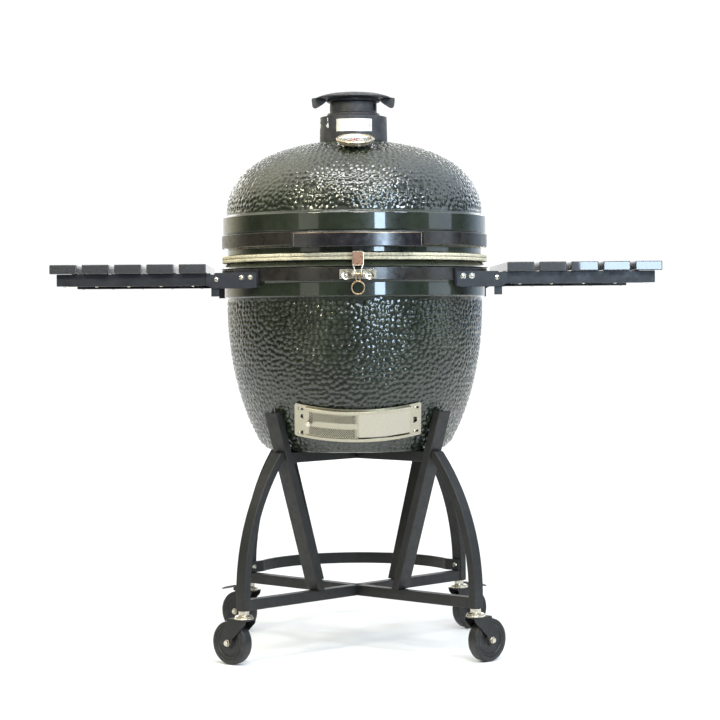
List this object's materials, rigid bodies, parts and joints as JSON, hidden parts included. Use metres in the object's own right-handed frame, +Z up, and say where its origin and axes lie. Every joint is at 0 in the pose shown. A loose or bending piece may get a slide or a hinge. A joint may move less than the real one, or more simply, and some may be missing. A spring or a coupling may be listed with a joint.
{
  "type": "kamado grill",
  "caption": "Egg-shaped ceramic charcoal grill with a hinged lid, turning vent, sliding draft door and folding side shelves, on a four-legged wheeled stand.",
  "frame": {"origin": "middle of the footprint on the floor, under the middle of the overall box", "axes": "+X to the right as someone facing the grill sees it, across both shelves; +Y to the back; +Z up"},
  "size_m": [1.4028, 0.802, 1.33],
  "materials": {
    "green_glaze": "pebbled gloss glaze, smooth on the rims",
    "fired_clay": "unglazed",
    "mesh_gasket": "woven wire-mesh gasket",
    "black_powder_coat": "satin powder coat",
    "cast_iron": "black, satin",
    "black_handle": "gloss",
    "stainless_steel": "brushed",
    "coppered_steel": "copper tone",
    "wheel_plastic": "hard tread",
    "pedal_plastic": "satin",
    "dark_composite": "fine brushed grain",
    "needle_red": "satin"
  },
  "bodies": {
    "stand_and_base": {"base_band": "black_powder_coat", "base_gasket": "mesh_gasket", "base_shell": "green_glaze", "charcoal_grate": "cast_iron", "cooking_grate": "stainless_steel", "draft_frame": "stainless_steel", "fire_ring": "fired_clay", "firebox": "fired_clay", "hinge_base": "cast_iron", "hinge_pin": "stainless_steel", "hinge_spring_left": "stainless_steel", "hinge_spring_right": "stainless_steel", "latch_bracket": "stainless_steel", "leg_front_left": "black_powder_coat", "leg_front_right": "black_powder_coat", "leg_rear_left": "black_powder_coat", "leg_rear_right": "black_powder_coat", "lower_cross": "black_powder_coat", "rear_bar": "black_powder_coat", "shelf_bracket_front_left": "black_powder_coat", "shelf_bracket_front_right": "black_powder_coat", "shelf_bracket_rear_left": "black_powder_coat", "shelf_bracket_rear_right": "black_powder_coat", "upper_cross": "black_powder_coat"},
    "lid": {"dome_shell": "green_glaze", "dome_gasket": "mesh_gasket", "lid_band": "black_powder_coat", "lid_handle": "black_handle", "hinge_lid": "cast_iron", "vent_collar": "cast_iron", "thermometer_case": "stainless_steel", "lid_keeper": "cast_iron"},
    "vent_top": {"vent_cap": "cast_iron"},
    "needle": {"thermometer_pointer": "needle_red"},
    "door_panel": {"draft_door": "stainless_steel"},
    "screen_panel": {"draft_screen": "stainless_steel"},
    "latch_ring": {"latch_lever": "stainless_steel"},
    "latch_catch": {"latch_bail": "coppered_steel"},
    "shelf_left": {"shelf_frame_left": "black_powder_coat", "shelf_slat_left_1": "dark_composite", "shelf_slat_left_2": "dark_composite", "shelf_slat_left_3": "dark_composite", "shelf_slat_left_4": "dark_composite", "shelf_slat_left_5": "dark_composite"},
    "shelf_right": {"shelf_frame_right": "black_powder_coat", "shelf_slat_right_1": "dark_composite", "shelf_slat_right_2": "dark_composite", "shelf_slat_right_3": "dark_composite", "shelf_slat_right_4": "dark_composite", "shelf_slat_right_5": "dark_composite"},
    "caster_front_left": {"caster_fork_front_left": "cast_iron"},
    "roller_front_left": {"wheel_front_left": "wheel_plastic"},
    "caster_front_right": {"caster_fork_front_right": "cast_iron"},
    "roller_front_right": {"wheel_front_right": "wheel_plastic"},
    "caster_rear_left": {"caster_fork_rear_left": "cast_iron"},
    "roller_rear_left": {"wheel_rear_left": "wheel_plastic"},
    "caster_rear_right": {"caster_fork_rear_right": "cast_iron"},
    "roller_rear_right": {"wheel_rear_right": "wheel_plastic"},
    "pedal_left": {"brake_pedal_rear_left": "pedal_plastic"},
    "pedal_right": {"brake_pedal_rear_right": "pedal_plastic"}
  },
  "joints": [
    {"name": "lid_hinge", "type": "hinge", "parent": "stand_and_base", "child": "lid", "pos_m": [0, 0.329, 0.945], "axis": [-1, 0, 0], "range_deg": [0, 70]},
    {"name": "vent_turn", "type": "hinge", "parent": "lid", "child": "vent_top", "pos_m": [0, -0.043, 1.3062], "axis": [0, 0, 1], "range_deg": [0, 21]},
    {"name": "needle_turn", "type": "hinge", "parent": "lid", "child": "needle", "pos_m": [0, -0.21511, 1.20426], "axis": [0, -0.3024, 0.9532], "range_deg": [-270, 0]},
    {"name": "door_slide", "type": "hinge", "parent": "stand_and_base", "child": "door_panel", "pos_m": [0, -0.043, 0.6502], "axis": [0, -0.3837, 0.9235], "range_deg": [-24.5, 0]},
    {"name": "screen_slide", "type": "hinge", "parent": "stand_and_base", "child": "screen_panel", "pos_m": [0, -0.043, 0.6502], "axis": [0, -0.3837, 0.9235], "range_deg": [0, 24.5]},
    {"name": "latch_ring_hinge", "type": "hinge", "parent": "stand_and_base", "child": "latch_ring", "pos_m": [0, -0.376, 0.889], "axis": [-1, 0, 0], "range_deg": [0, 45]},
    {"name": "latch_catch_hinge", "type": "hinge", "parent": "stand_and_base", "child": "latch_catch", "pos_m": [0, -0.376, 0.889], "axis": [1, 0, 0], "range_deg": [0, 100]},
    {"name": "shelf_fold_left", "type": "hinge", "parent": "stand_and_base", "child": "shelf_left", "pos_m": [-0.322, -0.043, 0.881], "axis": [0, -1, 0], "range_deg": [0, 90]},
    {"name": "shelf_fold_right", "type": "hinge", "parent": "stand_and_base", "child": "shelf_right", "pos_m": [0.322, -0.043, 0.881], "axis": [0, 1, 0], "range_deg": [0, 90]},
    {"name": "swivel_front_left", "type": "hinge", "parent": "stand_and_base", "child": "caster_front_left", "pos_m": [-0.2645, -0.3075, 0.11], "axis": [0, 0, 1], "continuous": true},
    {"name": "roll_front_left", "type": "hinge", "parent": "caster_front_left", "child": "roller_front_left", "pos_m": [-0.29208, -0.28436, 0.05], "axis": [-0.6428, -0.766, 0], "continuous": true},
    {"name": "swivel_front_right", "type": "hinge", "parent": "stand_and_base", "child": "caster_front_right", "pos_m": [0.2645, -0.3075, 0.11], "axis": [0, 0, 1], "continuous": true},
    {"name": "roll_front_right", "type": "hinge", "parent": "caster_front_right", "child": "roller_front_right", "pos_m": [0.29208, -0.28436, 0.05], "axis": [-0.6428, 0.766, 0], "continuous": true},
    {"name": "swivel_rear_left", "type": "hinge", "parent": "stand_and_base", "child": "caster_rear_left", "pos_m": [-0.2645, 0.2215, 0.11], "axis": [0, 0, 1], "continuous": true},
    {"name": "roll_rear_left", "type": "hinge", "parent": "caster_rear_left", "child": "roller_rear_left", "pos_m": [-0.29208, 0.24464, 0.05], "axis": [-0.6428, -0.766, 0], "continuous": true},
    {"name": "brake_left", "type": "hinge", "parent": "caster_rear_left", "child": "pedal_left", "pos_m": [-0.29246, 0.24496, 0.112], "axis": [-0.6428, -0.766, 0], "range_deg": [0, 15]},
    {"name": "swivel_rear_right", "type": "hinge", "parent": "stand_and_base", "child": "caster_rear_right", "pos_m": [0.2645, 0.2215, 0.11], "axis": [0, 0, 1], "continuous": true},
    {"name": "roll_rear_right", "type": "hinge", "parent": "caster_rear_right", "child": "roller_rear_right", "pos_m": [0.29208, 0.24464, 0.05], "axis": [-0.6428, 0.766, 0], "continuous": true},
    {"name": "brake_right", "type": "hinge", "parent": "caster_rear_right", "child": "pedal_right", "pos_m": [0.29246, 0.24496, 0.112], "axis": [-0.6428, 0.766, 0], "range_deg": [0, 15]}
  ]
}
